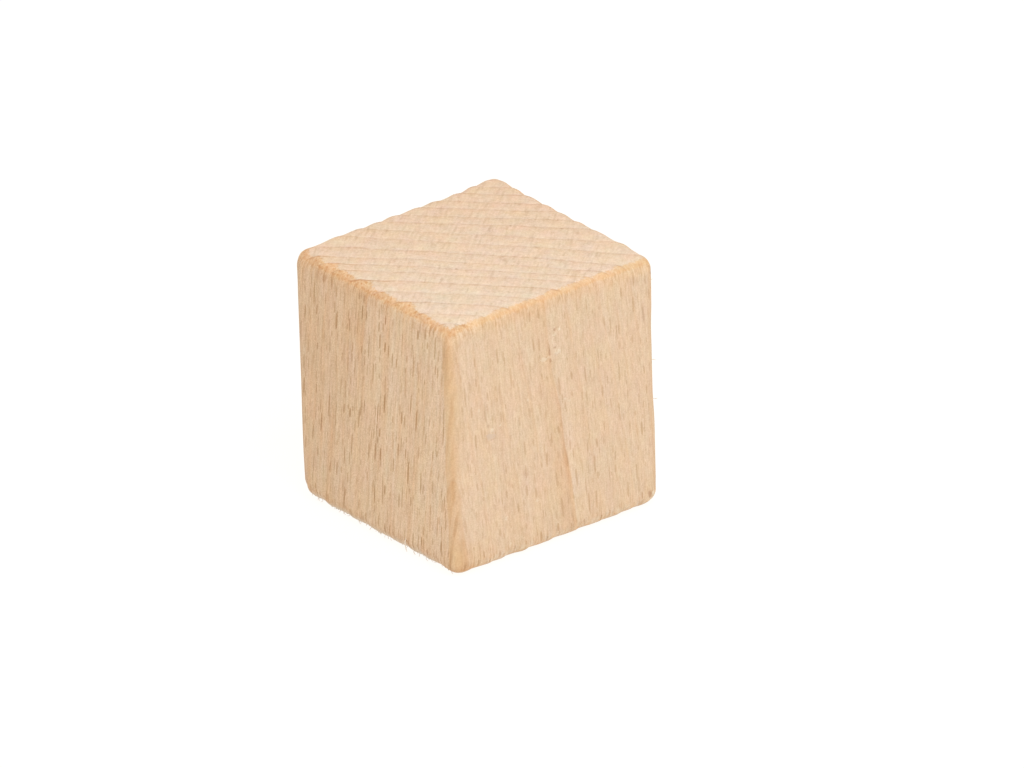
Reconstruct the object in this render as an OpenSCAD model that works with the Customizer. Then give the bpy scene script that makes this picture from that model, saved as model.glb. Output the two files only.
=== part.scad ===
// Small solid beech cube: one piece of timber, sawn and then tumbled so that
// every edge and corner is rounded over. The grain runs upright, along Z, so
// the top and bottom faces are end grain and the four sides are long grain.
// The origin is at the middle of the face that it stands on.

/* [Block] */
// Width across the first pair of long-grain sides (X), mm
width = 29.2; // [12:0.1:60]
// Width across the second pair of long-grain sides (Y), mm
depth = 29.8; // [12:0.1:60]
// Height along the grain (Z), mm
height = 31.2; // [12:0.1:60]

/* [Rounding] */
// Radius left on the edges and corners by tumbling, mm
edge_r = 1.7; // [0.5:0.1:5]

/* [Finish] */
// Colour of the bare timber
timber = "burlywood"; // [burlywood, wheat, tan]

/* [Hidden] */
// Half distances from the middle of the block to the rounding centres
cx = width / 2 - edge_r;
cy = depth / 2 - edge_r;
cz = height / 2 - edge_r;
$fn = 64;

// Three crossed slabs give the six flat faces.
module faces() {
  cube([width, 2 * cy, 2 * cz], center = true);
  cube([2 * cx, depth, 2 * cz], center = true);
  cube([2 * cx, 2 * cy, height], center = true);
}

// Quarter rounds along the four edges of each direction.
module edges() {
  for (sx = [-1, 1], sy = [-1, 1])
    translate([sx * cx, sy * cy, 0])
      cylinder(r = edge_r, h = 2 * cz, center = true);
  for (sx = [-1, 1], sz = [-1, 1])
    translate([sx * cx, 0, sz * cz])
      rotate([90, 0, 0]) cylinder(r = edge_r, h = 2 * cy, center = true);
  for (sy = [-1, 1], sz = [-1, 1])
    translate([0, sy * cy, sz * cz])
      rotate([0, 90, 0]) cylinder(r = edge_r, h = 2 * cx, center = true);
}

// Ball corners where three edges meet.
module corners() {
  for (sx = [-1, 1], sy = [-1, 1], sz = [-1, 1])
    translate([sx * cx, sy * cy, sz * cz]) sphere(r = edge_r);
}

module block() {
  color(timber)
    translate([0, 0, height / 2])
      union() {
        faces();
        edges();
        corners();
      }
}

block();
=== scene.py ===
"""Looks of a small tumbled beech cube: one detailed mesh of solid timber with upright grain."""
import math
import bpy
import numpy as np
from mathutils import Matrix, Vector


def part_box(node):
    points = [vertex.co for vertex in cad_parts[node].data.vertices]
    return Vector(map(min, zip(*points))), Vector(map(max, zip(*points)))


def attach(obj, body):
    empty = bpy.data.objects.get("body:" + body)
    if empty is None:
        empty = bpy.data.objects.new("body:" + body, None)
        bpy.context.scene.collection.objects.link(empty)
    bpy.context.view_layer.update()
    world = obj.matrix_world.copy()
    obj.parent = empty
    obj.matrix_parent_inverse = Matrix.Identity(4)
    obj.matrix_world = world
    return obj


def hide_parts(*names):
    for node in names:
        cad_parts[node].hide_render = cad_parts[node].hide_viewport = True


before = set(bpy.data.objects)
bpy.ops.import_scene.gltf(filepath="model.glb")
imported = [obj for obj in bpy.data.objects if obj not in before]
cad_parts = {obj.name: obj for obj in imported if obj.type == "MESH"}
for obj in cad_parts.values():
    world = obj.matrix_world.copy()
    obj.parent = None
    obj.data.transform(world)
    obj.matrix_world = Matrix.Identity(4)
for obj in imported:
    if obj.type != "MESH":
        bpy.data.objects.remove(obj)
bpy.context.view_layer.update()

MM = 0.001
lo, hi = (np.array(v, float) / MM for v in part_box("block"))
HALF = (hi - lo) / 2.0          # half sides, mm
MID = (hi + lo) / 2.0           # middle of the block, mm


# ---------------------------------------------------------------- helpers
def step(x, a, b):
    """Smooth step of x from 0 at a to 1 at b."""
    t = np.clip((x - a) / (b - a), 0.0, 1.0)
    return t * t * (3.0 - 2.0 * t)


def bell(x, w):
    return np.exp(-((x / w) ** 2))


_tables = {}


def noise(p, cell, seed):
    """Smooth lattice noise from -1 to 1; cell is the size of its lumps, mm."""
    if seed not in _tables:
        _tables[seed] = np.random.RandomState(seed).uniform(-1.0, 1.0, (32, 32, 32))
    tab = _tables[seed]
    q = p / np.array(cell, float) + 512.0
    i = np.floor(q).astype(int)
    f = q - i
    f = f * f * f * (f * (f * 6.0 - 15.0) + 10.0)
    out = 0.0
    for dx in (0, 1):
        for dy in (0, 1):
            for dz in (0, 1):
                w = ((f[:, 0] if dx else 1 - f[:, 0]) * (f[:, 1] if dy else 1 - f[:, 1])
                     * (f[:, 2] if dz else 1 - f[:, 2]))
                out = out + w * tab[(i[:, 0] + dx) % 32, (i[:, 1] + dy) % 32, (i[:, 2] + dz) % 32]
    return out


# ---------------------------------------------------------------- the timber
# Grain runs along z. The growth rings cross the end grain at 41.5 degrees to x:
# s runs across them, from the bark side to the heart, and t along them.
RING_ANGLE = math.radians(41.5)
# Where each ring's dark late wood meets t = 0, mm along s
RINGS = [-7.4, -5.1, -2.6, -0.2, 1.8, 3.7, 5.65, 7.8, 9.65, 11.85, 13.8, 16.45, 18.85, 21.55, 23.8, 25.55,
         27.2, 29.5, 32.2, 34.65, 37.4, 39.7, 41.35, 43.55, 46.0, 48.9]


# The grain leans: for each mm down from the top face it moves this far in x and y
LEAN_X, LEAN_Y = -0.108, 0.078


def timber(p):
    """(s, t, ring index) of points p, mm from the block's middle."""
    down = HALF[2] - p[:, 2]
    u = p[:, 0] - LEAN_X * down + HALF[0]
    v = HALF[1] - (p[:, 1] - LEAN_Y * down)
    ca, sa = math.cos(RING_ANGLE), math.sin(RING_ANGLE)
    s, t = u * sa + v * ca, u * ca - v * sa
    # the rings lean and bow a little, by different amounts across the block
    lean = np.interp(s, [6, 10, 12, 14, 16.6, 19, 22, 24, 27, 32, 36],
                     [-.03, -.045, -.045, -.032, .010, .022, .018, .004, 0, -.008, .01])
    bow = np.interp(s, [8, 12, 17, 20, 22, 24, 26, 30], [.001, .0012, 0, .0008, .0021, .0017, .001, 0])
    q = np.stack([s, t, p[:, 2] * 0.0], 1)
    wave = 0.16 * noise(q, (5.0, 4.2, 1.0), 11) + 0.07 * noise(q, (2.6, 1.5, 1.0), 12)
    # along the grain the rings wander slightly too
    wave = wave + 0.25 * noise(np.stack([s * 0.25, t * 0.25, down], 1), (6.0, 6.0, 11.0), 13) * np.clip(down / 12.0, 0, 1)
    s2 = s - lean * t - bow * t * t - wave
    ring = np.interp(s2, RINGS, np.arange(len(RINGS), dtype=float))
    return s, t, ring


def saw(ring, rise=0.16):
    """1 on the hard late wood, falling to -1 in the soft early wood of the next ring."""
    f = ring - np.floor(ring)
    return np.where(f < 1 - rise, 1 - 2 * f / (1 - rise), -1 + 2 * step(f, 1 - rise, 1.0))


# ---------------------------------------------------------------- the mesh
N, NR = 128, 11                 # squares along each side of a face; of those, on each rounding
R0 = 1.7                        # nominal rounding, mm


def surface():
    """Points, rounding parameters and faces of a closed lattice on the block's surface."""
    idx = {}
    quads, fuv, fid = [], [], []
    g = np.arange(N + 1)
    a, b = np.meshgrid(g, g, indexing="ij")
    keys, corner_uv = [], []
    for face, (axis, side) in enumerate([(0, 1), (0, 0), (1, 1), (1, 0), (2, 1), (2, 0)]):
        c = np.full_like(a, N if side else 0)
        ijk = [None] * 3
        o1, o2 = [k for k in range(3) if k != axis]
        ijk[axis], ijk[o1], ijk[o2] = c, a, b
        key = (ijk[0] * (N + 1) + ijk[1]) * (N + 1) + ijk[2]
        q = np.stack([key[:-1, :-1], key[1:, :-1], key[1:, 1:], key[:-1, 1:]], -1).reshape(-1, 4)
        la = np.stack([a[:-1, :-1], a[1:, :-1], a[1:, 1:], a[:-1, 1:]], -1).reshape(-1, 4)
        lb = np.stack([b[:-1, :-1], b[1:, :-1], b[1:, 1:], b[:-1, 1:]], -1).reshape(-1, 4)
        # outward winding: o1 x o2 points along +axis for axis 0 and 2, and -axis for axis 1
        flip = (side == 0) != (axis == 1)
        if flip:
            q, la, lb = q[:, ::-1], la[:, ::-1], lb[:, ::-1]
        quads.append(q)
        fuv.append(np.stack([la, lb], -1))
        fid.append(np.full(len(q), face))
    quads, fuv, fid = np.concatenate(quads), np.concatenate(fuv), np.concatenate(fid)
    uniq, inv = np.unique(quads.reshape(-1), return_inverse=True)
    quads = inv.reshape(-1, 4)
    ijk = np.stack([uniq // (N + 1) ** 2, (uniq // (N + 1)) % (N + 1), uniq % (N + 1)], 1)
    return ijk, quads, fuv, fid


def knots(i):
    """Lattice index -> (flat part -1..1, rounding part -1..1)."""
    m = N - 2 * NR
    x = np.clip((i - NR) / m, 0, 1) * 2 - 1
    flat = x * 1.0 - 0.0
    # closer together towards the roundings
    flat = 0.86 * x + 0.14 * np.sin(x * math.pi / 2)
    rnd = np.where(i < NR, -(NR - i) / NR, np.where(i > N - NR, (i - (N - NR)) / NR, 0.0))
    return flat, rnd


ijk, quads, fuv, fid = surface()
flat, rnd = knots(ijk)


# fixed points just outside the block: each finds its own place on the surface below it
anchor = flat * (HALF[None] - R0) + rnd / np.linalg.norm(rnd, axis=1)[:, None] * (R0 + 0.8)


def place(r):
    """Rounded-box points and normals for a rounding radius r at each point."""
    r = np.asarray(r)[:, None]
    inner = HALF[None] - r
    c = np.clip(anchor, -inner, inner)
    n = anchor - c
    n /= np.linalg.norm(n, axis=1)[:, None]
    return c + r * n, n


p0, n0 = place(np.full(len(ijk), R0))

# how near each point is to each of the six sides: 1 in the rounding, 0 well inside
near = {}
for ax in range(3):
    for sg in (-1, 1):
        near[ax, sg] = step(sg * p0[:, ax], HALF[ax] - 6.0, HALF[ax] - 1.7)

# rounding of each edge and corner, mm, as tumbling left them
EDGES = {((0, 1), (1, -1)): 1.6, ((0, -1), (1, -1)): 2.05, ((0, 1), (1, 1)): 1.76, ((0, -1), (1, 1)): 1.7,
         ((1, -1), (2, 1)): 1.25, ((0, 1), (2, 1)): 0.95, ((0, -1), (2, 1)): 1.87, ((1, 1), (2, 1)): 1.68,
         ((1, -1), (2, -1)): 2.0, ((0, 1), (2, -1)): 1.75, ((0, -1), (2, -1)): 1.75, ((1, 1), (2, -1)): 1.7}
CORNERS = {(-1, -1, 1): 2.2, (-1, -1, -1): 2.36, (1, -1, -1): 1.95, (1, 1, -1): 1.85,
           (1, 1, 1): 1.9, (-1, 1, 1): 1.18, (1, -1, 1): 1.5, (-1, 1, -1): 1.9}
radius = np.zeros(len(p0))
total = np.zeros(len(p0))
for (e1, e2), rr in EDGES.items():
    third = ({0, 1, 2} - {e1[0], e2[0]}).pop()
    w = near[e1] * near[e2] * (1 - near[third, 1]) * (1 - near[third, -1])
    radius += w * rr
    total += w
for (sx, sy, sz), rr in CORNERS.items():
    w = near[0, sx] * near[1, sy] * near[2, sz]
    radius += w * rr
    total += w
radius += (1 - total) * R0

s0, t0, ring0 = timber(p0)
pts0_y = p0[:, 1]
end_edge = np.maximum(near[2, 1], near[2, -1]) * np.max([near[0, 1], near[0, -1], near[1, 1], near[1, -1]], axis=0)
side_edge = np.max([near[0, 1], near[0, -1]], axis=0) * np.max([near[1, 1], near[1, -1]], axis=0)
# one upright edge is rubbed hollow above its middle
radius += 0.27 * near[0, 1] * near[1, 1] * (step(p0[:, 2], -6.0, -1.0) - step(p0[:, 2], 6.0, 10.0))
# the late wood stands proud of the worn end-grain edges, the early wood is scooped out
tooth = (saw(ring0, 0.16 + 0.20 * np.maximum(near[0, -1], near[1, 1])) * (0.75 + 0.5 * noise(p0, (6, 6, 6), 21))
         * (1 - 0.52 * near[0, 1] * near[2, -1]) * (1 - 0.42 * near[0, -1] * near[2, 1] * step(-pts0_y, -9.0, 6.0)))
radius -= (0.23 + 0.12 * near[1, -1] * near[2, 1]) * end_edge * tooth
radius += 0.12 * end_edge * noise(p0, (3.5, 3.5, 3.5), 22) + 0.10 * end_edge * noise(p0, (1.2, 1.2, 1.2), 23)
radius += 0.07 * side_edge * (1 - end_edge) * noise(p0, (5, 5, 9), 24)
radius = np.clip(radius, 0.6, 2.9)

pts, nrm = place(radius)
s1, t1, ring1 = timber(pts)
endg = step(np.abs(nrm[:, 2]), 0.45, 0.93)
wood = np.stack([s1, t1, pts[:, 2]], 1)

# surface relief, mm along the normal (mostly inwards)
relief = np.zeros(len(pts))
relief += endg * (0.018 * saw(ring1, 0.12) - 0.02)
relief += -0.02 + 0.02 * noise(pts, (9, 9, 9), 31) + 0.012 * noise(pts, (3.5, 3.5, 5), 32)
relief += (1 - endg) * 0.008 * noise(wood, (0.9, 0.9, 9.0), 33)
relief += endg * 0.006 * noise(wood, (2.5, 0.6, 4.0), 34)
under = step(-nrm[:, 2], 0.6, 0.98)
relief -= 0.02 * under
pts = pts + nrm * relief[:, None]
pts[:, 2] = np.maximum(pts[:, 2], -HALF[2])

# ---------------------------------------------------------------- rubbed edges, broad colour and painted light, per point
gap = [HALF[k] - np.abs(pts[:, k]) for k in range(3)]
# distance along the surface from the middle of an edge's rounding, mm:
# across an end-grain edge, inwards over the end grain is plus and down the side is minus;
# across an upright edge, over the y sides is plus and over the x sides is minus
edge_e = np.minimum(gap[0], gap[1]) - gap[2]
edge_v = gap[0] - gap[1]
# how far the rubbed band reaches over the end grain, how much farther on the hard late wood, and down the side
reach = np.tile([0.40, 0.40, 0.60], (len(pts), 1))
for key, vals in {((1, -1), (2, 1)): (0.60, 0.84, 0.72), ((0, 1), (2, 1)): (0.42, 0.42, 0.60)}.items():
    w = (near[key[0]] * near[key[1]])[:, None]
    reach = reach * (1 - w) + w * np.array(vals)


def along(z, table):
    """Where a long dark growth line stands on a side, mm, at height z."""
    return np.interp(z, [q[0] for q in table], [q[1] for q in table])


# two growth lines that show plainly on the sides: (height, place across the side)
LINE_X = [(-16, 2.75), (-14.4, 2.6), (-12.5, 2.33), (-7.9, 1.84), (-2.8, 0.93), (1.0, 0.63), (5.5, -0.43), (7.5, -0.6),
          (9.1, -0.81), (11.9, -1.09), (14.5, -1.25), (16, -1.3)]
LINE_Y = [(6.0, -1.7), (7.5, -1.42), (10.2, -0.91), (12.9, -0.41), (15.6, 0.10)]
on_x, on_y = step(nrm[:, 0], 0.6, 0.95), step(-nrm[:, 1], 0.6, 0.95)
line = np.where(nrm[:, 0] > np.abs(nrm[:, 1]), pts[:, 1] - along(pts[:, 2], LINE_X), pts[:, 0] - along(pts[:, 2], LINE_Y))
line = line + 0.05 * noise(pts, (1.5, 1.5, 2.2), 51)
# streaks on the sides follow the leaning grain, and wander a little
sink = HALF[2] - pts[:, 2]
lane_x = pts[:, 1] - sink * (0.078 - 0.034 * step(pts[:, 1], 1.0, 12.0)) + 0.13 * noise(pts, (7, 7, 10), 61)
lane_y = pts[:, 0] + 0.114 * sink + 0.16 * noise(pts, (7, 7, 10), 62)
line_amp = on_x * (0.55 + 0.40 * step(-pts[:, 2], -3, 4)) + on_y * 0.9 * step(pts[:, 2], 3.0, 9.0)
line_amp *= 1 + 0.35 * noise(pts, (3, 3, 3.0), 52)

# broad colour shifts, partly painted light: above 0 is darker
tone_and_painted_light = np.zeros(len(pts))
tone_and_painted_light += on_y * (0.29 - 0.58 * step(pts[:, 0], -13, 12)) + on_y * 0.08 * step(-pts[:, 2], 9, 15)
tone_and_painted_light += on_y * 0.12 * step(pts[:, 0], 8.5, 10.5)
tone_and_painted_light += on_x * 0.12 * step(-pts[:, 2], 8, 15) * (1 - 0.6 * step(pts[:, 1], 0, 8))
tone_and_painted_light += on_y * 0.13 * bell(pts[:, 0] - 2.2, 3.2) * step(-pts[:, 2], 8, 11) - on_y * 0.07 * bell(pts[:, 0] - 7.0, 3.0) * bell(pts[:, 2] + 7.5, 3.0)
# painted light: the lower x+ edge is made lighter, so that the light falls off over it less than its rounding would
# make it
tone_and_painted_light -= 0.62 * near[0, 1] * near[2, -1] * bell(edge_e + 0.70, 0.75) * (1 - near[1, -1])
tone_and_painted_light += 0.17 * near[0, 1] * near[1, -1] * near[2, -1]
# a pale strip up the y- side, near the front edge
tone_and_painted_light -= on_y * 0.13 * bell(pts[:, 0] - 11.6 - 0.02 * pts[:, 2], 0.8) * step(pts[:, 2], -7, 1)
tone_and_painted_light += step(nrm[:, 2], 0.6, 0.95) * (-0.02 - 0.012 * pts[:, 0])
tone_and_painted_light += 0.10 * noise(pts, (11, 11, 11), 53) * (1 - on_x) * (1 - on_y)

# ---------------------------------------------------------------- build the mesh object
def unwrap():
    """Each side gets its own sixth of the square, with the grain along its shorter way."""
    arc = np.zeros(N + 1)
    for i in range(N):
        _, ra = knots(np.array([i, i + 1]))
        fa, _ = knots(np.array([i, i + 1]))
        ang = np.arctan(ra)
        arc[i + 1] = arc[i] + (fa[1] - fa[0]) * (15.2 - R0) + R0 * (ang[1] - ang[0])
    arc /= arc[-1]
    m = 0.004
    uv = np.zeros(fuv.shape)
    for f in range(6):
        k = fid == f
        col, row = f % 3, f // 3
        a, b = arc[fuv[k][..., 0]], arc[fuv[k][..., 1]]
        # lattice b is z on the four long-grain sides: it runs along u
        uv[k, :, 0] = (col + m * 3 + b * (1 - 6 * m)) / 3
        uv[k, :, 1] = (row + m * 2 + a * (1 - 4 * m)) / 2
    return uv.reshape(-1, 2)


mesh = bpy.data.meshes.new("beech_block")
world_pts = (pts + MID[None]) * MM
mesh.vertices.add(len(world_pts))
mesh.vertices.foreach_set("co", world_pts.astype(np.float32).ravel())
mesh.loops.add(quads.size)
mesh.loops.foreach_set("vertex_index", quads.astype(np.int32).ravel())
mesh.polygons.add(len(quads))
mesh.polygons.foreach_set("loop_start", np.arange(0, quads.size, 4, dtype=np.int32))
mesh.polygons.foreach_set("use_smooth", np.ones(len(quads), dtype=bool))
mesh.update(calc_edges=True)
uvl = mesh.uv_layers.new(name="OFBake")
uvl.data.foreach_set("uv", unwrap().astype(np.float32).ravel())


def put(name, values):
    if values.ndim == 1:
        at = mesh.attributes.new(name, "FLOAT", "POINT")
        at.data.foreach_set("value", values.astype(np.float32))
    else:
        at = mesh.attributes.new(name, "FLOAT_VECTOR", "POINT")
        at.data.foreach_set("vector", values.astype(np.float32).ravel())


put("wood", wood)
put("ring", ring1)
put("endg", endg)
put("lane", np.stack([lane_x, lane_y, 0.05 * pts[:, 0]], 1))
# painted light: the x+ side is made lighter just below its upper edge, as if it caught more light from above
painted_light_below_crest = near[0, 1] * near[2, 1] * on_x * bell(edge_e + 1.15, 0.75)
thin_amp = line_amp * step(pts[:, 2], -7.5, -4.5) * (0.55 + 0.45 * bell(pts[:, 2] + 1.5, 4.0))
# above 0 where the saw left fluff, on the lower y- edge; below 0 on the cleaner lower x+ edge
fray = near[2, -1] * (near[1, -1] * (1 - step(pts[:, 0], 9.5, 12.5)) - near[0, 1] * step(pts[:, 1], -14.9, -13.0))
put("extra", np.stack([painted_light_below_crest, thin_amp, fray], 1))
put("side", np.stack([step(np.abs(nrm[:, 1]), 0.25, 0.8), 0.05 * pts[:, 1], near[1, -1] * near[2, 1]], 1))
put("edge", np.stack([edge_e, edge_v, line], 1))
put("reach", reach)
put("tone_and_painted_light", np.stack([tone_and_painted_light, line_amp, 1.0 - 0.5 * step(-pts[:, 2], 9.0, 13.0)], 1))
mesh.validate()
block = bpy.data.objects.new("beech_block", mesh)
bpy.context.scene.collection.objects.link(block)

# ---------------------------------------------------------------- the material
mat = bpy.data.materials.new("beech")
mat.use_nodes = True
nt = mat.node_tree
nt.nodes.clear()
out = nt.nodes.new("ShaderNodeOutputMaterial")
bsdf = nt.nodes.new("ShaderNodeBsdfPrincipled")
nt.links.new(bsdf.outputs[0], out.inputs[0])


def feed(socket, value):
    if hasattr(value, "is_output") or isinstance(value, bpy.types.NodeSocket):
        nt.links.new(value, socket)
    elif value is not None:
        socket.default_value = value


def m(op, a, b=None, c=None, clamp=False):
    nd = nt.nodes.new("ShaderNodeMath")
    nd.operation = op
    nd.use_clamp = clamp
    for k, v in enumerate((a, b, c)):
        feed(nd.inputs[k], v)
    return nd.outputs[0]


def smooth(x, a, b, lo_=0.0, hi_=1.0):
    nd = nt.nodes.new("ShaderNodeMapRange")
    nd.interpolation_type = "SMOOTHSTEP"
    feed(nd.inputs["Value"], x)
    feed(nd.inputs["From Min"], a)
    feed(nd.inputs["From Max"], b)
    feed(nd.inputs["To Min"], lo_)
    feed(nd.inputs["To Max"], hi_)
    return nd.outputs[0]


def attr(name, vec=False):
    nd = nt.nodes.new("ShaderNodeAttribute")
    nd.attribute_name = name
    return nd.outputs["Vector" if vec else "Fac"]


def comb(x, y, z):
    nd = nt.nodes.new("ShaderNodeCombineXYZ")
    for k, v in enumerate((x, y, z)):
        feed(nd.inputs[k], v)
    return nd.outputs[0]


def sep(v):
    nd = nt.nodes.new("ShaderNodeSeparateXYZ")
    feed(nd.inputs[0], v)
    return nd.outputs


def nz(vec, scale=1.0, detail=0.0, rough=0.5, seed=0.0):
    """Noise centred on 0, about -1 to 1."""
    nd = nt.nodes.new("ShaderNodeTexNoise")
    nd.noise_dimensions = "4D"
    feed(nd.inputs["Vector"], vec)
    nd.inputs["W"].default_value = seed
    nd.inputs["Scale"].default_value = scale
    nd.inputs["Detail"].default_value = detail
    nd.inputs["Roughness"].default_value = rough
    return m("MULTIPLY_ADD", nd.outputs["Fac"], 2.0, -1.0)


def mixc(fac, a, b, kind="MIX"):
    nd = nt.nodes.new("ShaderNodeMix")
    nd.data_type = "RGBA"
    nd.blend_type = kind
    feed(nd.inputs[0], fac)
    feed(nd.inputs[6], a)
    feed(nd.inputs[7], b)
    return nd.outputs[2]


def bell_(x, w):
    """1 where x is 0, falling smoothly to 0 at w to either side and beyond."""
    return smooth(m("ABSOLUTE", x), w, 0.0)


W = sep(attr("wood", True))
S, T, Z = W[0], W[1], W[2]
RING, END = attr("ring"), attr("endg")
LANE, SIDE, EXTRA = sep(attr("lane", True)), sep(attr("side", True)), sep(attr("extra", True))
FACEY, CREST = SIDE[0], SIDE[2]                # 1 on the y sides; 1 along the upper y- edge
EDGE, REACH, TONE_AND_LIGHT = sep(attr("edge", True)), sep(attr("reach", True)), sep(attr("tone_and_painted_light", True))
LONG = m("SUBTRACT", 1.0, END)


def blend(on_x_, on_y_):
    """One value on the x sides, another on the y sides, mixed across the upright edges."""
    return m("MULTIPLY_ADD", m("SUBTRACT", on_y_, on_x_), FACEY, on_x_)


def streak(scale, tall, detail, rough, seed, broader=1.0):
    """Noise in streaks along the leaning grain; tall stretches them, broader widens them on the x sides."""
    return blend(nz(comb(mul(LANE[0], 1.0 / broader) if broader != 1.0 else LANE[0], LANE[2], mul(Z, tall)), scale, detail, rough, seed),
                 nz(comb(LANE[1], m("ADD", SIDE[1], 7.0), mul(Z, tall)), scale, detail, rough, seed + 0.5))


def flecks(lane, which, cell_t, cell_z, half_t, half_z, seed, wander):
    """Ray flecks: spindles thin across the grain and tall along it. Returns 0..1, random depth."""
    wz = m("MULTIPLY", nz(comb(m("MULTIPLY", lane, 0.30), which, 0.0), 1.0, 0, 0.5, seed + 3.3), wander)
    x = m("DIVIDE", m("ADD", lane, m("MULTIPLY", nz(comb(m("MULTIPLY", lane, 0.2), which, m("MULTIPLY", Z, 0.12)), 1.0, 0, 0.5, seed), 0.22)), cell_t)
    y = m("ADD", m("DIVIDE", m("ADD", Z, wz), cell_z), which)
    v = nt.nodes.new("ShaderNodeTexVoronoi")
    v.voronoi_dimensions = "2D"
    v.feature = "F1"
    nt.links.new(comb(x, y, seed), v.inputs["Vector"])
    v.inputs["Scale"].default_value = 1.0
    v.inputs["Randomness"].default_value = 0.82
    pos = sep(v.outputs["Position"])
    rnd_ = sep(v.outputs["Color"])
    size = smooth(rnd_[0], 0.0, 1.0, 0.50, 1.35)
    dx = m("DIVIDE", m("MULTIPLY", m("SUBTRACT", x, pos[0]), cell_t), half_t)
    dy = m("DIVIDE", m("MULTIPLY", m("SUBTRACT", y, pos[1]), cell_z), m("MULTIPLY", size, half_z))
    # spindle: the half width shrinks towards the ends
    ady = m("ABSOLUTE", dy)
    wid = m("SUBTRACT", 1.0, m("POWER", ady, 3.0), clamp=True)
    adx = m("ABSOLUTE", dx)
    d = m("DIVIDE", adx, m("ADD", m("MULTIPLY", wid, smooth(rnd_[1], 0, 1, 0.7, 1.25)), 0.02))
    body = smooth(d, 1.25, 0.45)
    ends = smooth(ady, 1.0, 0.70)
    depth = smooth(rnd_[2], 0.1, 1.0, 0.15, 1.0)
    return m("MULTIPLY", m("MULTIPLY", body, ends), depth)


def rays(cell_t, cell_z, half_t, half_z, seed, wander):
    """Flecks on all four sides; they are shorter and a little farther apart on the x sides."""
    return blend(flecks(LANE[0], smooth(LANE[2], -0.3, 0.3, 0.0, 57.3), cell_t * 1.12, cell_z * 0.88, half_t * 1.28, half_z * 0.74, seed, wander),
                 flecks(LANE[1], smooth(SIDE[1], -0.3, 0.3, 20.0, 103.1), cell_t * 0.97, cell_z, half_t * 1.08, half_z * 0.98, seed, wander))


def add(*vals):
    out_ = vals[0]
    for v in vals[1:]:
        out_ = m("ADD", out_, v)
    return out_


def mul(*vals):
    out_ = vals[0]
    for v in vals[1:]:
        out_ = m("MULTIPLY", out_, v)
    return out_


ray_big = rays(1.18, 3.6, 0.112, 1.45, 1.7, 1.8)
ray_mid = rays(0.92, 2.1, 0.096, 0.80, 7.3, 1.3)
ray_all = m("MAXIMUM", ray_big, mul(ray_mid, 0.7))
patch = smooth(nz(comb(S, T, mul(Z, 0.25)), 0.35, 1.0, 0.5, 12.0), -0.45, 0.45, 0.84, 1.08)
ray_long = mul(ray_all, m("MULTIPLY_ADD", FACEY, 0.77, 1.03), patch)

# fibre streaks, long in z, at four widths
wide = streak(0.75, 0.05, 1.0, 0.6, 2.0)
mid_ = streak(2.3, 0.06, 0.0, 0.5, 3.0)
fine = streak(5.2, 0.15, 1.0, 0.6, 5.0, 1.14)
long_ = streak(3.8, 0.012, 1.0, 0.5, 8.0)
speck = nz(comb(S, T, Z), 6.8, 1.0, 0.6, 6.0)

# growth rings
jit = mul(nz(comb(mul(S, 0.4), T, mul(Z, 0.05)), 1.2, 3.0, 0.65, 9.0), 0.06)
ringj = m("ADD", RING, jit)
ph = m("FRACT", ringj)
rid = m("FLOOR", m("ADD", ringj, 0.5))
dist = m("MINIMUM", ph, m("SUBTRACT", 1.0, ph))
wn = nt.nodes.new("ShaderNodeTexWhiteNoise")
wn.noise_dimensions = "1D"
nt.links.new(rid, wn.inputs["W"])
ring_depth = smooth(wn.outputs["Value"], 0, 1, 0.6, 1.15)
ring_gap = smooth(nz(comb(rid, T, mul(Z, 0.1)), 1.3, 3.0, 0.65, 14.0), -0.40, 0.35, 0.1, 1.25)
ring_line = mul(smooth(dist, 0.12, 0.0), ring_depth, ring_gap)
ring_shade = m("SUBTRACT", 0.5, ph)           # +.5 just after the line, -.5 just before the next

# end grain: rays cut across it, wood laid in fine bands along the rings, pores
ray_end = nz(comb(mul(S, 0.16), T, mul(Z, 0.2)), 2.9, 1.0, 0.6, 21.0)
ray_cut = smooth(nz(comb(mul(S, 0.25), T, mul(Z, 0.2)), 2.2, 0.0, 0.6, 22.0), 0.20, 0.50)
weft = nz(comb(RING, mul(T, 0.30), mul(Z, 0.2)), 4.2, 2.0, 0.7, 25.0)
weft2 = nz(comb(RING, mul(T, 0.12), mul(Z, 0.2)), 7.5, 1.0, 0.6, 26.0)
pores = nz(comb(S, T, mul(Z, 0.2)), 6.5, 1.0, 0.7, 23.0)
pores2 = nz(comb(S, T, mul(Z, 0.2)), 3.0, 0.0, 0.7, 24.0)

# a growth line on the side: warm and dark before it, sharp at it, paler past it
ln = EDGE[2]
line_dark = add(mul(smooth(ln, -0.8, -0.18), smooth(ln, 0.12, -0.12), 0.30), mul(smooth(ln, -3.8, -0.4), smooth(ln, 0.1, -0.1), 0.28),
                mul(smooth(ln, -0.02, 0.25), smooth(ln, 3.0, 0.4), -0.16))
line_dark = mul(line_dark, TONE_AND_LIGHT[1])
line_thin = mul(bell_(m("ADD", ln, 0.05), 0.20), EXTRA[1], smooth(mid_, -0.35, 0.25, 0.35, 1.1))
off_line = smooth(m("ABSOLUTE", ln), 0.6, 1.8)

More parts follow.
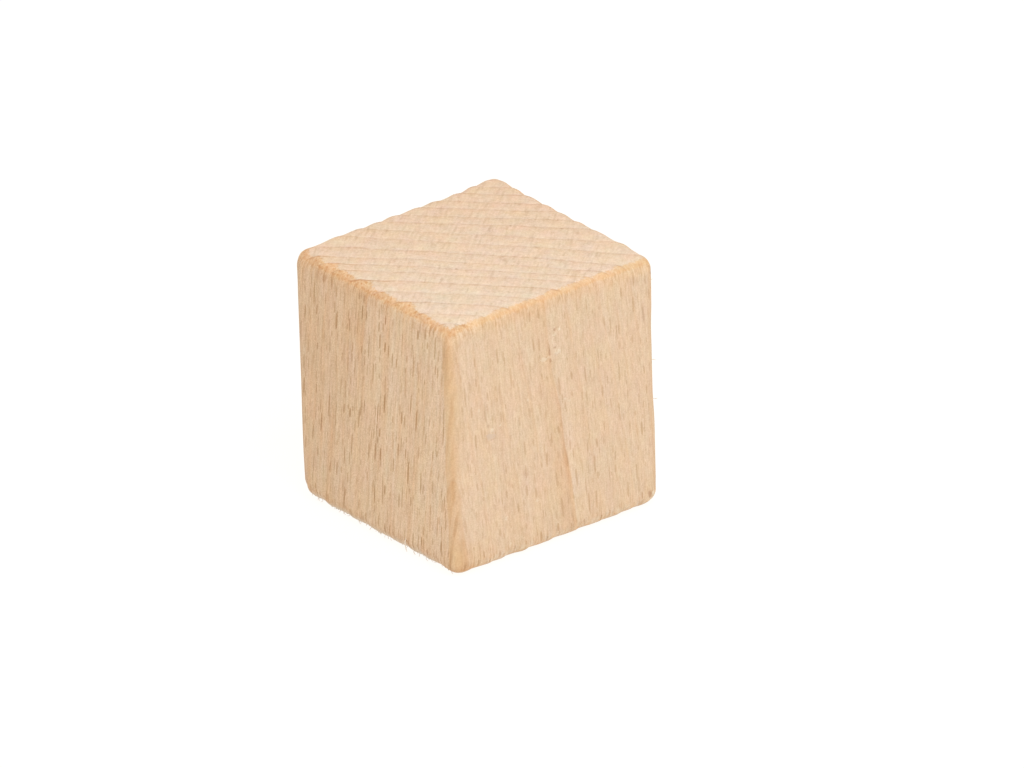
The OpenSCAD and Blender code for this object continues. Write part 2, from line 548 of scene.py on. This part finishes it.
# rubbed edges: the band's far side steps outwards at each growth line
step_rand = smooth(wn.outputs["Value"], 0, 1, 0.35, 1.25)
wn_b = nt.nodes.new("ShaderNodeTexWhiteNoise")
wn_b.noise_dimensions = "2D"
nt.links.new(comb(rid, 5.0, 0.0), wn_b.inputs["Vector"])
run_on = m("MULTIPLY_ADD", m("POWER", wn_b.outputs["Value"], 2.0), 2.6, 0.5)
n_patch = nz(comb(S, T, mul(Z, 0.5)), 1.6, 2.0, 0.6, 31.0)
n_small = nz(comb(S, T, mul(Z, 0.5)), 3.9, 2.0, 0.65, 33.0)
n_bead = nz(comb(S, T, Z), 2.9, 2.0, 0.6, 36.0)
strand = nz(comb(S, T, mul(Z, 0.24)), 4.4, 2.0, 0.6, 47.0)
strand_fine = nz(comb(S, T, mul(Z, 0.30)), 8.5, 1.0, 0.6, 48.0)
tail = m("POWER", m("SUBTRACT", 1.0, ph), 1.4)
far = add(REACH[0], mul(REACH[1], tail, step_rand), mul(n_small, 0.42), mul(n_patch, 0.24))
over_end = smooth(EDGE[0], m("ADD", far, 0.14), m("SUBTRACT", far, 0.20))
below = mul(EDGE[0], -1.0)
down = add(REACH[2], mul(fine, 0.6), mul(n_patch, 0.5))
down_side = m("MAXIMUM", smooth(below, m("ADD", down, 0.62), m("SUBTRACT", down, 0.42)), mul(smooth(below, m("ADD", down, 2.0), m("ADD", down, 0.1)), 0.38))
lower = smooth(TONE_AND_LIGHT[2], 1.0, 0.5)
rub_e = mul(over_end, down_side, TONE_AND_LIGHT[2], m("MULTIPLY_ADD", mul(lower, n_patch), 2.0, 1.0))
wob = add(mul(mid_, 0.20), mul(n_patch, 0.12))
wob2 = add(mul(mid_, 0.55), mul(n_patch, 0.40))
over_y = smooth(EDGE[1], m("ADD", wob, 1.40), m("ADD", wob, 1.10))
over_x = smooth(mul(EDGE[1], -1.0), m("ADD", wob2, m("MULTIPLY_ADD", lower, 0.8, 1.7)), m("ADD", wob2, m("MULTIPLY_ADD", lower, 0.5, -0.45)))
rub_v = mul(over_y, over_x, LONG, 0.95)
RUB = m("MAXIMUM", rub_e, rub_v)
# the growth rings lie nearly flat against the front edge and show as tall flames in its band;
# here and there a dark line runs along the band's side
v_line = mul(bell_(m("SUBTRACT", EDGE[1], m("ADD", wob, 1.18)), 0.19), LONG, smooth(n_patch, -0.05, 0.40))
streaks = mul(smooth(fine, -0.05, 0.35), LONG)
band_dark = add(mul(v_line, 0.30),
                mul(rub_v, m("SUBTRACT", 1.0, rub_e), add(mul(ring_shade, 0.44), mul(ring_line, 0.08), mul(mid_, 0.55), mul(long_, 0.50), mul(n_small, 0.30))),
                mul(rub_e, add(mul(n_small, m("MULTIPLY_ADD", CREST, 0.6, 1.45)), mul(smooth(n_bead, 0.0, 0.34), m("MULTIPLY_ADD", CREST, 0.95, 0.22)), mul(smooth(n_bead, 0.0, -0.34), CREST, -0.35), mul(smooth(mid_, 0.05, 0.5), LONG, 0.35), mul(streaks, 0.25))))
core_e = mul(smooth(EDGE[0], m("ADD", far, 0.1), m("SUBTRACT", far, 0.35)), smooth(below, 0.75, 0.25))
rim = mul(bell_(m("SUBTRACT", EDGE[0], far), 0.15), smooth(n_patch, -0.35, 0.30), 1.3)
# painted shadow: a thin dark line along the rubbed band's far side, on the late wood, where it stands proud as a shelf
painted_shelf_shadow = mul(bell_(m("SUBTRACT", EDGE[0], m("SUBTRACT", far, 0.04)), 0.16), smooth(ph, 0.55, 0.10), TONE_AND_LIGHT[2], m("MULTIPLY_ADD", CREST, 0.55, 0.40), smooth(n_patch, -0.5, 0.1))
# the growth lines run on out of the band as thin reddish lines, and frayed fibre ends edge it below
tongue = mul(smooth(dist, 0.10, 0.01), smooth(EDGE[0], m("ADD", run_on, 0.6), m("SUBTRACT", run_on, 0.4)), smooth(EDGE[0], -0.4, 0.3), ring_depth, m("MULTIPLY_ADD", CREST, 0.75, 0.25), TONE_AND_LIGHT[2])
claw = mul(smooth(fine, 0.02, 0.42), smooth(below, 2.6, 1.3), smooth(below, 0.3, 0.8))

calm = m("SUBTRACT", 1.0, mul(RUB, 0.40))      # the rubbed wood shows less of its figure
fine_amp = m("MULTIPLY_ADD", FACEY, 0.135, 0.765)
rays_long = mul(m("ADD", mul(ray_long, m("MULTIPLY_ADD", FACEY, 0.18, 0.93), m("MULTIPLY_ADD", RUB, -0.55, 1.0)), mul(claw, 0.5)), LONG)
thin_long = add(mul(fine, fine_amp), mul(long_, m("MULTIPLY_ADD", FACEY, 0.26, 0.36)), mul(speck, m("MULTIPLY_ADD", FACEY, 0.58, 0.98)))
broad_long = add(mul(wide, m("MULTIPLY_ADD", FACEY, 0.38, 0.22)), mul(mid_, m("MULTIPLY_ADD", FACEY, 0.16, 0.08)),
                 mul(m("ADD", mul(ring_line, 0.15), mul(ring_shade, 0.15)), off_line), line_dark)
thin_end = add(mul(ray_end, 0.62), mul(ray_cut, 0.40), mul(pores, 0.78), mul(pores2, 0.30), mul(speck, 0.42), mul(weft2, 0.30))
broad_end = add(mul(ring_shade, 0.40), mul(weft, 0.55))

BASE_X = (0.611, 0.430, 0.280, 1)
BASE_Y = (0.607, 0.418, 0.261, 1)
BASE_END = (0.603, 0.434, 0.297, 1)
base = mixc(END, mixc(FACEY, BASE_X, BASE_Y), BASE_END)
thin = mul(m("ADD", mul(thin_long, LONG), mul(thin_end, END)), calm)
broad = mul(m("ADD", mul(broad_long, LONG), mul(broad_end, END)), calm)


def stain(c, amount, rgb):
    """Multiplies c by a colour that leaves 1 - rgb of it at amount 1."""
    return mixc(1.0, c, comb(*[m("SUBTRACT", 1.0, mul(amount, k)) for k in rgb]), "MULTIPLY")


col = stain(base, thin, (0.202, 0.25, 0.308))
col = stain(col, mul(rays_long, calm), (0.183, 0.245, 0.325))
col = mixc(END, stain(col, broad, (0.088, 0.25, 0.430)), stain(col, broad, (0.140, 0.25, 0.370)))
col = mixc(FACEY, stain(col, TONE_AND_LIGHT[0], (0.088, 0.25, 0.430)), stain(col, TONE_AND_LIGHT[0], (0.160, 0.25, 0.360)))
# the hue wanders a little between yellowish and pinkish
hue = add(mul(nz(comb(S, T, mul(Z, 0.5)), 0.60, 0.0, 0.5, 71.0), m("MULTIPLY_ADD", END, 0.7, 1.1)), mul(nz(comb(S, T, mul(Z, 0.7)), 2.0, 0.0, 0.5, 72.0), m("MULTIPLY_ADD", END, 0.15, 0.62)))
tint = add(mul(nz(comb(S, T, mul(Z, 0.5)), 0.65, 0.0, 0.5, 73.0), m("MULTIPLY_ADD", END, 0.5, 1.4)), mul(nz(comb(S, T, mul(Z, 0.7)), 2.2, 0.0, 0.5, 74.0), m("MULTIPLY_ADD", END, 0.0, 0.80)))
col = mixc(1.0, col, comb(add(mul(hue, 0.024), mul(tint, -0.010), 1.0), m("MULTIPLY_ADD", tint, 0.016, 1.0), add(mul(hue, -0.036), mul(tint, -0.010), 1.0)), "MULTIPLY")
# painted light: lightens the x+ side just below its upper edge
col = mixc(EXTRA[0], col, mixc(1.0, col, (1.030, 1.020, 1.008, 1), "MULTIPLY"))
col = stain(col, line_thin, (0.075, 0.135, 0.175))
col = stain(col, mul(ring_line, END), (0.120, 0.185, 0.215))
col = stain(col, tongue, (0.10, 0.22, 0.32))
gold = mixc(FACEY, mixc(smooth(n_patch, -0.3, 0.35), (1.03, 0.95, 0.785, 1), (0.995, 0.88, 0.725, 1)),
            mixc(smooth(n_patch, -0.3, 0.35), (1.0, 0.915, 0.780, 1), (0.958, 0.848, 0.722, 1)))
col = mixc(rub_e, col, mixc(1.0, col, gold, "MULTIPLY"))
col = mixc(m("MULTIPLY", rub_v, m("SUBTRACT", 1.0, rub_e)), col, mixc(1.0, col, (0.975, 0.895, 0.775, 1), "MULTIPLY"))
col = stain(col, band_dark, (0.11, 0.22, 0.34))
# here and there a dark line along the upright band's side, and painted shade: a greyish darkening over the y side of
# each upright rounding
col = stain(col, mul(m("ADD", mul(v_line, 0.9), mul(bell_(m("SUBTRACT", EDGE[1], 0.85), 0.75), LONG, 0.8)), m("SUBTRACT", 1.0, rub_e)), (0.075, 0.055, 0.040))
col = stain(col, m("MAXIMUM", mul(core_e, m("MULTIPLY_ADD", CREST, 0.45, 0.55)), mul(rim, 0.8)), (0.015, 0.075, 0.150))
# painted shadow along the late-wood shelves at the band's far side
col = stain(col, painted_shelf_shadow, (0.10, 0.155, 0.215))
# the lower x+ edge: browner streaks run down to it, with golden and orange patches between them
FRAY, CLEAN = m("MAXIMUM", EXTRA[2], 0.0), m("MAXIMUM", mul(EXTRA[2], -1.0), 0.0)
low = mul(CLEAN, smooth(below, 2.2, 1.0), smooth(EDGE[0], 1.3, 0.7))
col = stain(col, mul(low, add(mul(smooth(n_patch, -0.10, 0.25), 0.55), mul(smooth(n_bead, 0.12, 0.34), 0.75))), (0.0, 0.065, 0.145))
col = stain(col, mul(CLEAN, smooth(below, 3.6, 1.6), smooth(below, 0.0, 0.5), add(mul(ray_all, 0.70), mul(smooth(fine, 0.18, 0.60), 0.28), mul(smooth(mid_, 0.05, 0.5), 0.22))), (0.13, 0.20, 0.28))
# painted light: a band along the lower x+ rounding is made lighter
col = stain(col, mul(CLEAN, bell_(m("ADD", EDGE[0], 0.75), 0.7)), (-0.050, -0.036, -0.010))
# fluff along the lower y- edge: brown hollows and pale raised fibre ends
fluff = mul(FRAY, smooth(m("ADD", below, mul(strand, 1.1)), 1.50, 0.35), smooth(m("ADD", EDGE[0], mul(n_bead, 0.7)), 0.85, 0.30))
hollow = mul(FRAY, smooth(below, 2.5, 1.3), smooth(below, 0.1, 0.8), smooth(strand, -0.02, -0.26))
col = stain(col, hollow, (0.17, 0.26, 0.37))
col = mixc(mul(fluff, smooth(strand, -0.20, 0.14, 0.42, 0.95)), col, (0.565, 0.450, 0.325, 1))
col = mixc(mul(fluff, smooth(strand_fine, 0.08, 0.40, 0.0, 0.5)), col, (0.68, 0.575, 0.45, 1))

# small marks: (place on the block, mm from its middle; half size across and along the grain, mm; how strong)
PALE = [((14.6, 0.50, 8.25), 0.26, 0.26, 0.70), ((14.6, 0.10, 8.15), 0.16, 0.12, 0.5), ((14.6, 0.05, 10.4), 0.26, 0.20, 0.45), ((14.6, 0.70, 10.88), 0.13, 0.13, 0.95),
        ((14.6, -1.40, 7.80), 0.60, 0.19, 0.45), ((14.6, -0.3, 9.6), 0.12, 0.3, 0.35), ((14.6, 1.24, 2.04), 0.26, 0.14, 0.40), ((14.6, -8.04, 1.69), 0.15, 0.14, 0.55),
        ((14.6, 1.79, 1.62), 0.20, 0.12, 0.40), ((14.6, -4.0, 3.5), 0.10, 0.20, 0.5), ((14.6, -10.98, 4.4), 0.10, 0.24, 0.45),
        ((14.6, -9.22, 1.52), 0.22, 0.15, 0.65), ((14.6, -3.1, -9.3), 0.22, 0.15, 0.4), ((14.6, -7.56, -10.1), 0.20, 0.16, 0.5),
        ((14.6, -7.1, -13.4), 0.12, 0.30, 0.45), ((1.57, -4.19, 15.6), 0.22, 0.2, 0.6), ((14.39, 13.77, -14.0), 0.26, 0.36, 0.8)]
GREY = [((14.6, -9.42, 0.80), 0.56, 0.44, 0.85), ((14.6, 0.30, 8.0), 0.45, 0.22, 0.6), ((13.96, 13.9, -14.8), 0.30, 0.20, 0.6)]
DARK = [((14.6, 0.04, 11.02), 0.16, 0.24, 1.4), ((14.6, 0.02, 8.79), 0.24, 0.12, 1.2), ((14.6, -0.74, 8.45), 0.13, 0.46, 1.3), ((14.6, -0.62, 7.38), 0.14, 0.26, 1.2),
        ((14.6, -9.98, 0.62), 0.12, 0.60, 0.9), ((14.6, -9.70, 2.15), 0.15, 0.26, 0.8), ((14.6, -9.2, 0.33), 0.36, 0.09, 0.6), ((14.6, -8.68, 2.4), 0.09, 0.34, 0.6),
        ((14.50, 13.15, -13.85), 0.34, 0.48, 1.5), ((2.39, -4.2, 15.6), 0.17, 0.15, 1.3),
        ((-2.43, 7.38, 15.6), 0.13, 0.13, 1.5), ((3.84, 6.06, 15.6), 0.30, 0.14, 0.8), ((1.96, 11.32, 15.6), 0.20, 0.14, 0.9),
        ((4.2, 1.33, 15.6), 0.32, 0.1, 0.8), ((14.6, 12.75, 8.9), 0.13, 1.8, 0.9), ((14.1, 14.4, 13.4), 0.22, 0.18, 1.2)]
rough_edge = add(mul(speck, 0.6), mul(nz(comb(S, T, Z), 4.0, 1.0, 0.6, 41.0), 0.6))


def marks(table, ragged):
    total_ = None
    for place_, across, along_, power in table:
        s_, t_, _ = timber(np.array([place_]))
        off = nt.nodes.new("ShaderNodeVectorMath")
        off.operation = "SUBTRACT"
        nt.links.new(attr("wood", True), off.inputs[0])
        off.inputs[1].default_value = (float(s_[0]), float(t_[0]), place_[2])
        sc = nt.nodes.new("ShaderNodeVectorMath")
        sc.operation = "MULTIPLY"
        nt.links.new(off.outputs[0], sc.inputs[0])
        sc.inputs[1].default_value = (1 / across, 1 / across, 1 / along_)
        ln_ = nt.nodes.new("ShaderNodeVectorMath")
        ln_.operation = "LENGTH"
        nt.links.new(sc.outputs[0], ln_.inputs[0])
        one = smooth(m("ADD", ln_.outputs["Value"], ragged), 1.35, 0.60, 0.0, power)
        total_ = one if total_ is None else m("MAXIMUM", total_, one)
    return total_


pale, grey, spot = marks(PALE, mul(rough_edge, 2.3)), marks(GREY, mul(rough_edge, 2.2)), marks(DARK, rough_edge)
col = stain(col, spot, (0.185, 0.25, 0.29))
col = mixc(grey, col, (0.550, 0.402, 0.290, 1))
col = mixc(pale, col, (0.70, 0.565, 0.405, 1))
nt.links.new(col, bsdf.inputs["Base Color"])
rough = m("ADD", m("MULTIPLY_ADD", RUB, -0.12, 0.66), mul(mid_, LONG, 0.04))
nt.links.new(rough, bsdf.inputs["Roughness"])
bsdf.inputs["IOR"].default_value = 1.45
bump = nt.nodes.new("ShaderNodeBump")
height = add(mul(ray_all, LONG, -0.5), mul(m("ADD", mid_, fine), LONG, -0.35), mul(pale, 0.5), mul(spot, -0.6))
height = m("SUBTRACT", height, m("MULTIPLY", m("MULTIPLY", ring_line, END), 0.5))
height = m("ADD", height, m("MULTIPLY", pores, 0.2))
nt.links.new(height, bump.inputs["Height"])
bump.inputs["Strength"].default_value = 0.35
bump.inputs["Distance"].default_value = 0.00004
nt.links.new(bump.outputs[0], bsdf.inputs["Normal"])
mesh.materials.append(mat)
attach(block, "root")
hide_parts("block")


# ---------------------------------------------------------------- torn fibres on the lower edges
def hair(path, r, sides=5):
    """A closed thin tube along path (mm from the block's middle), tapering to both ends."""
    path = [Vector(q) for q in path]
    pts_, faces_ = [], []
    for i, q in enumerate(path):
        d = (path[min(i + 1, len(path) - 1)] - path[max(i - 1, 0)]).normalized()
        u = d.orthogonal().normalized()
        v = d.cross(u)
        rr = r * (1.0 - 0.75 * abs(2.0 * i / (len(path) - 1) - 1.0) ** 2)
        pts_ += [q + (u * math.cos(2 * math.pi * k / sides) + v * math.sin(2 * math.pi * k / sides)) * rr for k in range(sides)]
    for i in range(len(path) - 1):
        for k in range(sides):
            a_, b_ = i * sides + k, i * sides + (k + 1) % sides
            faces_.append((a_, b_, b_ + sides, a_ + sides))
    faces_.append(tuple(reversed(range(sides))))
    faces_.append(tuple(range(len(pts_) - sides, len(pts_))))
    return pts_, faces_


# where each starts on the block, and how it runs from there, mm
FIBRES = [((-12.9, -13.6, -14.8), [(-0.25, -0.25, -0.25), (-0.1, -0.45, -0.55)], 0.035),
          ((-11.9, -13.7, -15.0), [(0.1, -0.3, -0.2), (0.35, -0.45, -0.45)], 0.030),
          ((-7.2, -13.9, -15.1), [(0.2, -0.2, -0.2), (0.55, -0.25, -0.3)], 0.030),
          ((-2.2, -13.9, -15.2), [(0.15, -0.2, -0.15), (0.1, -0.4, -0.38)], 0.035),
          ((1.0, -14.0, -15.1), [(0.2, -0.15, -0.2), (0.5, -0.3, -0.25)], 0.030),
          ((5.45, -14.75, -13.4), [(0.05, -0.28, -0.6), (0.2, -0.34, -1.2), (0.25, -0.2, -1.75)], 0.060),
          ((6.2, -14.3, -14.7), [(0.25, -0.25, -0.35), (0.3, -0.1, -0.75)], 0.045),
          ((8.2, -14.1, -15.1), [(0.2, -0.3, -0.15), (0.5, -0.3, -0.35)], 0.030),
          ((13.95, 14.12, 2.6), [(0.24, 0.24, 0.0), (0.45, 0.48, -0.10)], 0.045),
          ((14.0, 14.2, -2.3), [(0.24, 0.26, -0.05), (0.46, 0.44, 0.08)], 0.040),
          ((13.9, 14.0, 12.4), [(0.25, 0.3, 0.1), (0.35, 0.5, 0.3)], 0.030),
          ((-4.0, 14.2, -14.9), [(-0.2, 0.3, -0.2), (-0.5, 0.4, -0.3)], 0.035),
          ((-14.0, 3.0, -14.9), [(-0.3, 0.15, -0.2), (-0.4, 0.5, -0.3)], 0.035),
          ((9.6, 14.2, -14.7), [(0.2, 0.3, -0.2), (0.3, 0.45, -0.5)], 0.030)]
rs = np.random.RandomState(7)
for k in range(26):                         # the short fuzz left by the saw along the lower y- edge
    x_ = -12.6 + 25.0 * (k + rs.uniform(-0.4, 0.4)) / 25.0
    out_, drop = rs.uniform(0.12, 0.32), rs.uniform(0.1, 0.5)
    FIBRES.append(((x_, -14.05 + rs.uniform(-0.35, 0.35), -15.0 + rs.uniform(-0.1, 0.25)),
                   [(rs.uniform(-0.1, 0.3), -out_ * 0.7, -drop * 0.4), (rs.uniform(-0.3, 0.6), -out_, -drop)], rs.uniform(0.022, 0.036), -0.12))
for k in range(38):                         # and the shorter fluff along it, thickest left of its middle
    x_ = -12.8 + 25.6 * rs.uniform() ** 1.25
    out_ = rs.uniform(0.02, 0.12)
    run = rs.uniform(0.12, 0.34) * rs.choice([-1.0, 1.0])
    y_, z_ = -14.12 + rs.uniform(-0.16, 0.10), -15.14 + rs.uniform(-0.08, 0.12)
    FIBRES.append(((x_, y_ + 0.04, z_ + 0.05), [(run * 0.5, -out_ * 0.62, -out_ * 0.79), (run, 0.03, 0.04)], rs.uniform(0.04, 0.075), -0.05))
for k in range(8):
    x_ = rs.uniform(-12.0, 12.0)
    FIBRES.append(((x_, 14.1, -15.0), [(rs.uniform(-0.1, 0.3), 0.2, -0.15), (rs.uniform(-0.3, 0.5), 0.3, -0.35)], 0.028))
fv, ff = [], []
for start, offs, r, *deepest in FIBRES:
    # each is rooted in the wood: its start lies under the surface, but not too deep
    near_k = int(np.argmin(((pts - np.array(start)) ** 2).sum(1)))
    depth_ = float((np.array(start) - pts[near_k]) @ nrm[near_k])
    root = np.array(start) + nrm[near_k] * (min(max(depth_, *(deepest or [-0.6])), -0.05) - depth_)
    way = [Vector(root) + Vector(o) for o in [(0, 0, 0)] + list(offs)]
    # a smooth run through the given points
    fine_way = []
    for i in range(len(way) - 1):
        q0, q1, q2, q3 = way[max(i - 1, 0)], way[i], way[i + 1], way[min(i + 2, len(way) - 1)]
        for j in range(4):
            w_ = j / 4
            fine_way.append(0.5 * ((2 * q1) + (q2 - q0) * w_ + (2 * q0 - 5 * q1 + 4 * q2 - q3) * w_ ** 2 + (3 * q1 - q0 - 3 * q2 + q3) * w_ ** 3))
    fine_way.append(way[-1])
    fine_way = [Vector((q.x, q.y, max(q.z, r - HALF[2]))) for q in fine_way]     # above the floor
    hv, hf = hair(fine_way, r)
    ff += [tuple(k + len(fv) for k in f_) for f_ in hf]
    fv += [tuple((np.array(q) + MID) * MM) for q in hv]
fmesh = bpy.data.meshes.new("torn_fibres")
fmesh.from_pydata(fv, [], ff)
fmesh.validate()
fibres = bpy.data.objects.new("torn_fibres", fmesh)
bpy.context.scene.collection.objects.link(fibres)
fmat = bpy.data.materials.new("beech_fibre")
fmat.use_nodes = True
fb = fmat.node_tree.nodes["Principled BSDF"]
fb.inputs["Base Color"].default_value = (0.69, 0.59, 0.475, 1)
fb.inputs["Roughness"].default_value = 0.7
fmesh.materials.append(fmat)
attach(fibres, "root")
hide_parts("block")


# ---------------------------------------------------------------- floor, light, camera
def plain(name, colour, emit=0.0):
    mt = bpy.data.materials.new(name)
    mt.use_nodes = True
    b = mt.node_tree.nodes["Principled BSDF"]
    b.inputs["Base Color"].default_value = (*colour, 1)
    b.inputs["Roughness"].default_value = 0.9
    b.inputs["Specular IOR Level"].default_value = 0.0
    b.inputs["Emission Color"].default_value = (1.0, 0.975, 0.94, 1)
    b.inputs["Emission Strength"].default_value = emit
    return mt


bpy.ops.mesh.primitive_circle_add(vertices=96, radius=4.0, fill_type="NGON", location=(0, 0, 0))
floor = bpy.context.object
floor.name = "floor"
floor.data.materials.append(plain("floor_white", (0.08, 0.08, 0.08), 0.97))

world = bpy.data.worlds.new("studio")
bpy.context.scene.world = world
world.use_nodes = True
world.node_tree.nodes["Background"].inputs[0].default_value = (1.0, 0.975, 0.94, 1)
world.node_tree.nodes["Background"].inputs[1].default_value = 1.07


def area(name, loc, target, size, power, colour=(1, 1, 1)):
    d = bpy.data.lights.new(name, "AREA")
    d.shape = "DISK"
    d.size = size
    d.energy = power
    d.color = colour
    o = bpy.data.objects.new(name, d)
    bpy.context.scene.collection.objects.link(o)
    loc, target = Vector(loc), Vector(target)
    o.matrix_world = Matrix.Translation(loc) @ (target - loc).to_track_quat("-Z", "Y").to_matrix().to_4x4()
    return o


mid = Vector((0, 0, 0.0156))
area("key", (0.42, -0.10, 0.60), mid, 0.4, 2.6, (0.86, 1.0, 1.15))

cam = bpy.data.cameras.new("camera")
cam.sensor_width = 36.0
cam.lens = 421.875
cam.clip_start, cam.clip_end = 0.05, 30.0
camera = bpy.data.objects.new("camera", cam)
bpy.context.scene.collection.objects.link(camera)
AZ, EL, ROLL = math.radians(52.3491), math.radians(25.8446), math.radians(-1.6953)
back = Vector((math.sin(AZ) * math.cos(EL), -math.cos(AZ) * math.cos(EL), math.sin(EL)))
right = Vector((math.cos(AZ), math.sin(AZ), 0))
up = right.cross(-back)
r2 = right * math.cos(ROLL) + up * math.sin(ROLL)
u2 = up * math.cos(ROLL) - right * math.sin(ROLL)
rot = Matrix((r2, u2, back)).transposed()
# the block's middle shows at (476.3, 375.8) of the 1024 x 768 picture
FOCAL, DIST = 12000.0, 1.35728
loc = mid + DIST * back - r2 * ((476.25 - 512) / FOCAL * DIST) + u2 * ((375.80 - 384) / FOCAL * DIST)
camera.matrix_world = Matrix.Translation(loc) @ rot.to_4x4()
bpy.context.scene.camera = camera

scene = bpy.context.scene
scene.view_settings.view_transform = "Standard"
scene.view_settings.look = "None"
scene.view_settings.exposure = 0.0
scene.view_settings.gamma = 1.0
